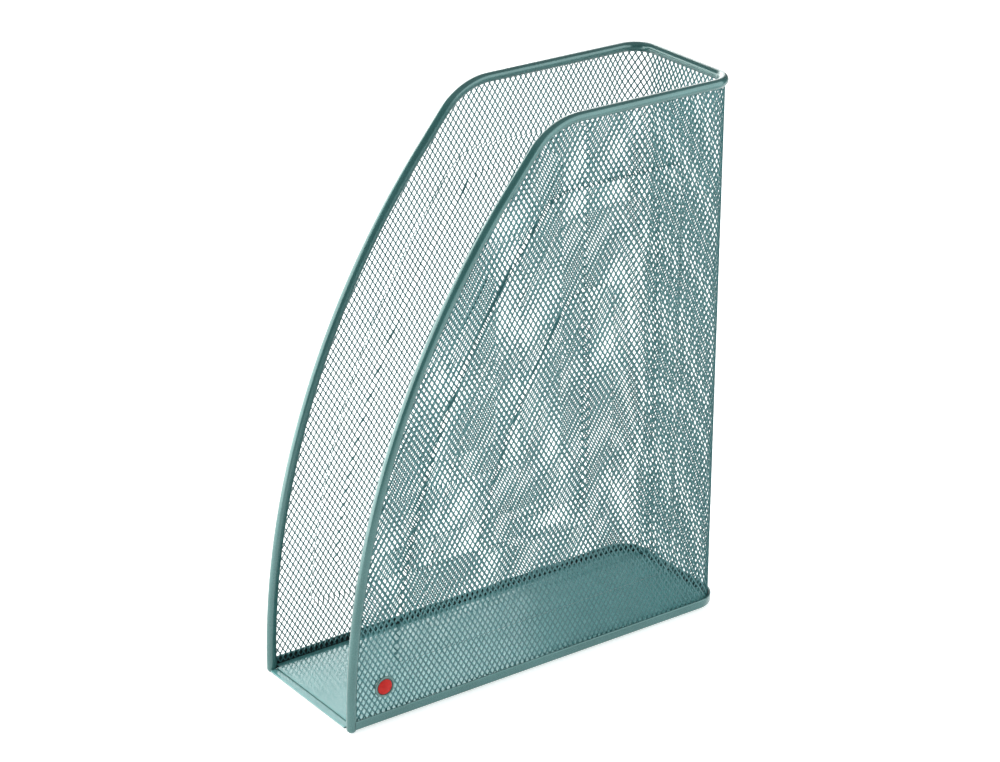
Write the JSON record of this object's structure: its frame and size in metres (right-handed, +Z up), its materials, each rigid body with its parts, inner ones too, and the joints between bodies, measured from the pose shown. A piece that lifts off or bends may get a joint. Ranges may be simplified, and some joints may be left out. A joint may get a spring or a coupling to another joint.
{
  "type": "magazine file holder",
  "caption": "Open-fronted upright magazine file in painted expanded metal, with a bent round rim bar along its free edge, a shallow sheet pan for a base and a small plain badge.",
  "frame": {"origin": "middle of the footprint, on the surface that the holder stands on", "axes": "+Z up, -Y towards the open front, +X towards the side with the badge"},
  "size_m": [0.085, 0.252, 0.315],
  "materials": {
    "painted_bar": "satin metallic grey-green",
    "painted_mesh": "satin metallic grey-green",
    "painted_pan": "smooth satin metallic grey-green",
    "rubber_pad": "matt",
    "painted_bezel": "satin metallic grey-green",
    "red_enamel": "gloss"
  },
  "bodies": {
    "root": {"rim_frame": "painted_bar", "wall_mesh": "painted_mesh", "base_pan": "painted_pan", "pad_rear_near": "rubber_pad", "pad_rear_far": "rubber_pad", "badge_bezel": "painted_bezel", "badge_insert": "red_enamel"}
  },
  "joints": []
}
